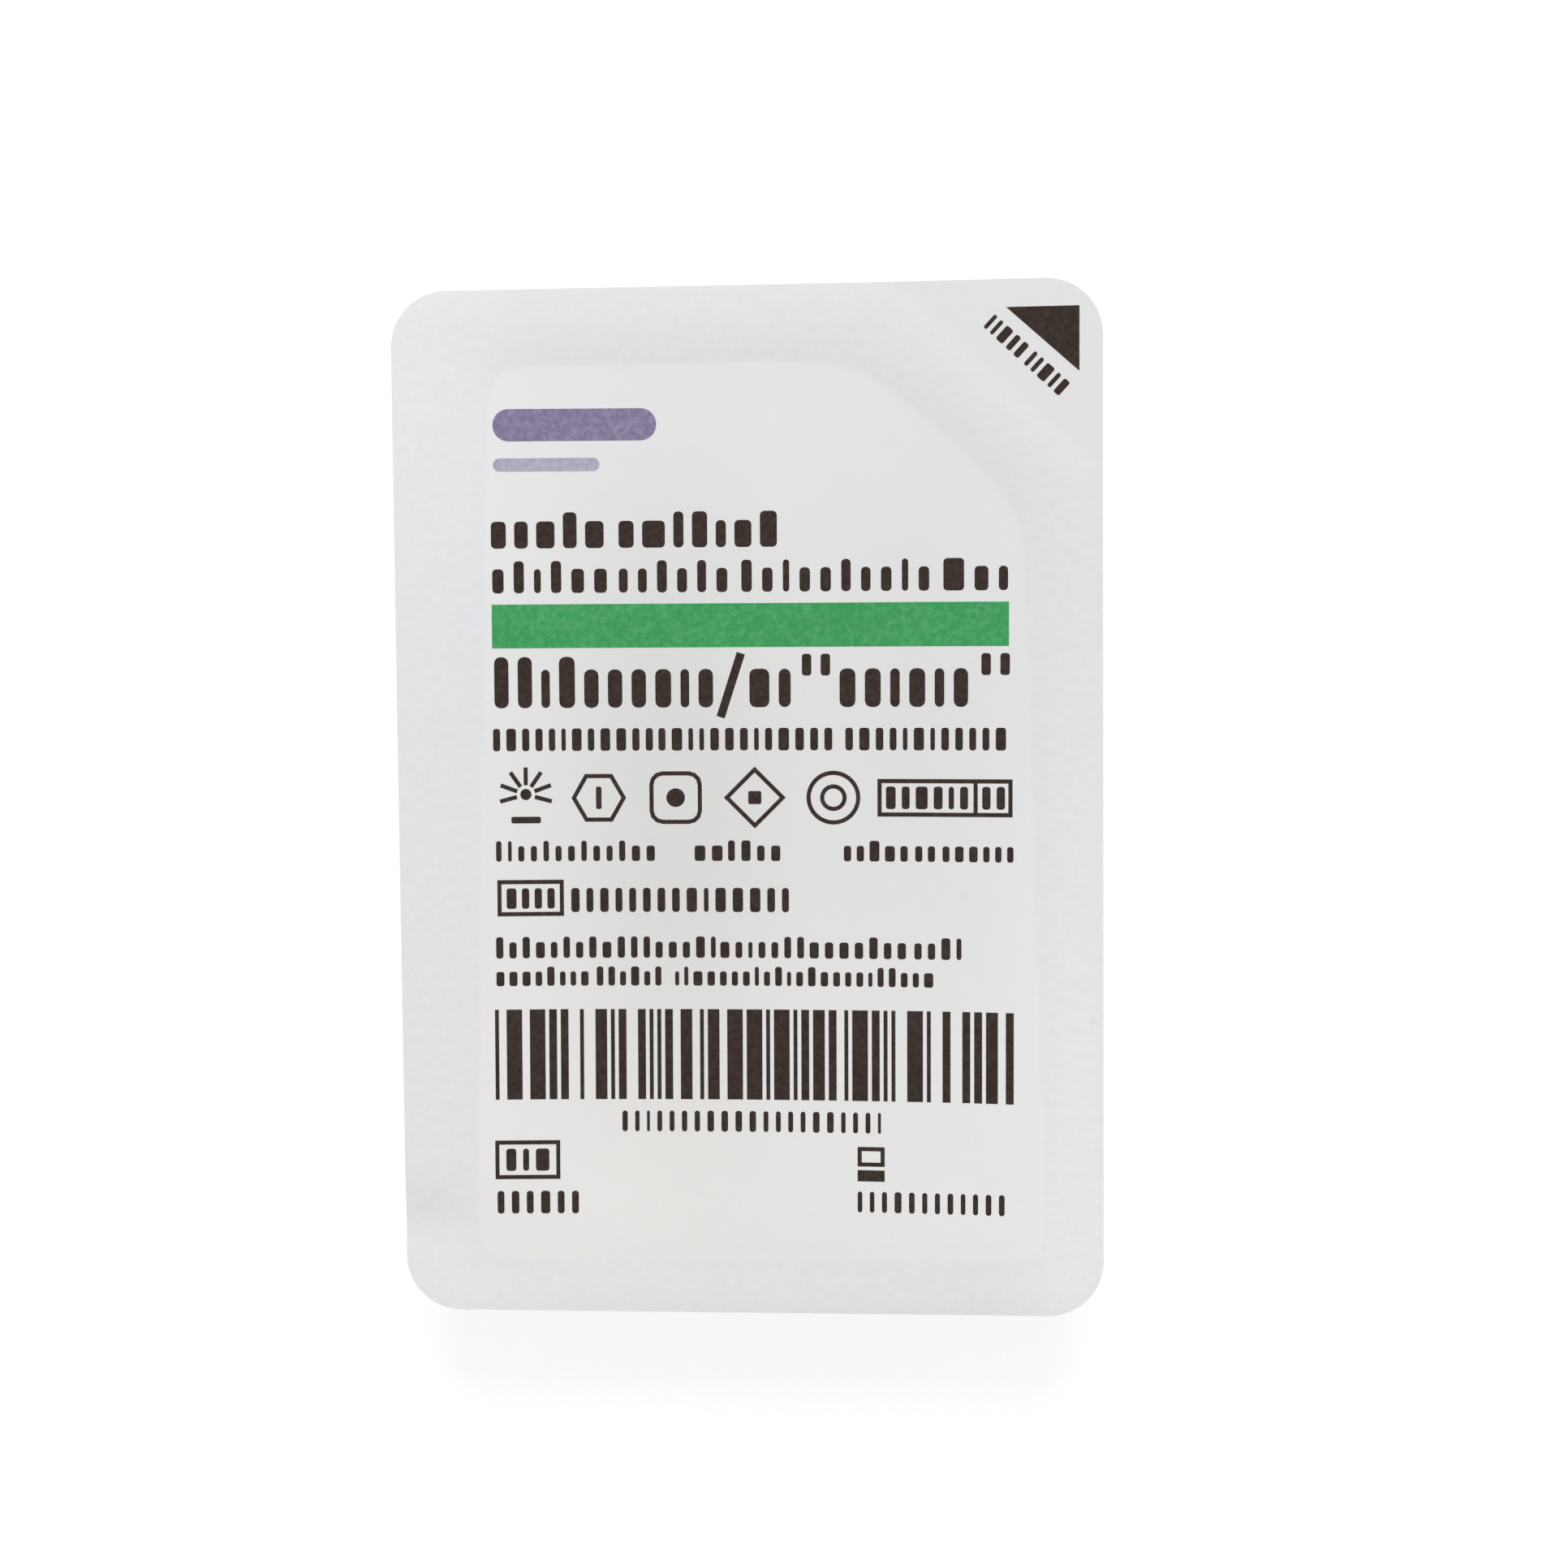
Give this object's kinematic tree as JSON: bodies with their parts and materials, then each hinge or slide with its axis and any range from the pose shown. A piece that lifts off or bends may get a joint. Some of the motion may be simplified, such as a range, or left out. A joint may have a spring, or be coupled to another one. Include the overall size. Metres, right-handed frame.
{
  "type": "sealed sterile needle pack",
  "caption": "Sealed peel pack for a winged blood-collection needle: printed paper lid heat-sealed to a drafted film tray, with a corner left unsealed for peeling.",
  "frame": {"origin": "middle of the tray's floor, below the middle of the die-cut outline", "axes": "+Y towards the head of the printed lid, +Z out of the lid, +X to the right of the print"},
  "size_m": [0.0754, 0.11, 0.0144],
  "materials": {
    "paper": "matte",
    "film": "satin",
    "black_ink": "matte",
    "green_ink": "matte",
    "violet_ink": "matte"
  },
  "bodies": {
    "root": {"sealed_pack": "paper"}
  },
  "joints": []
}
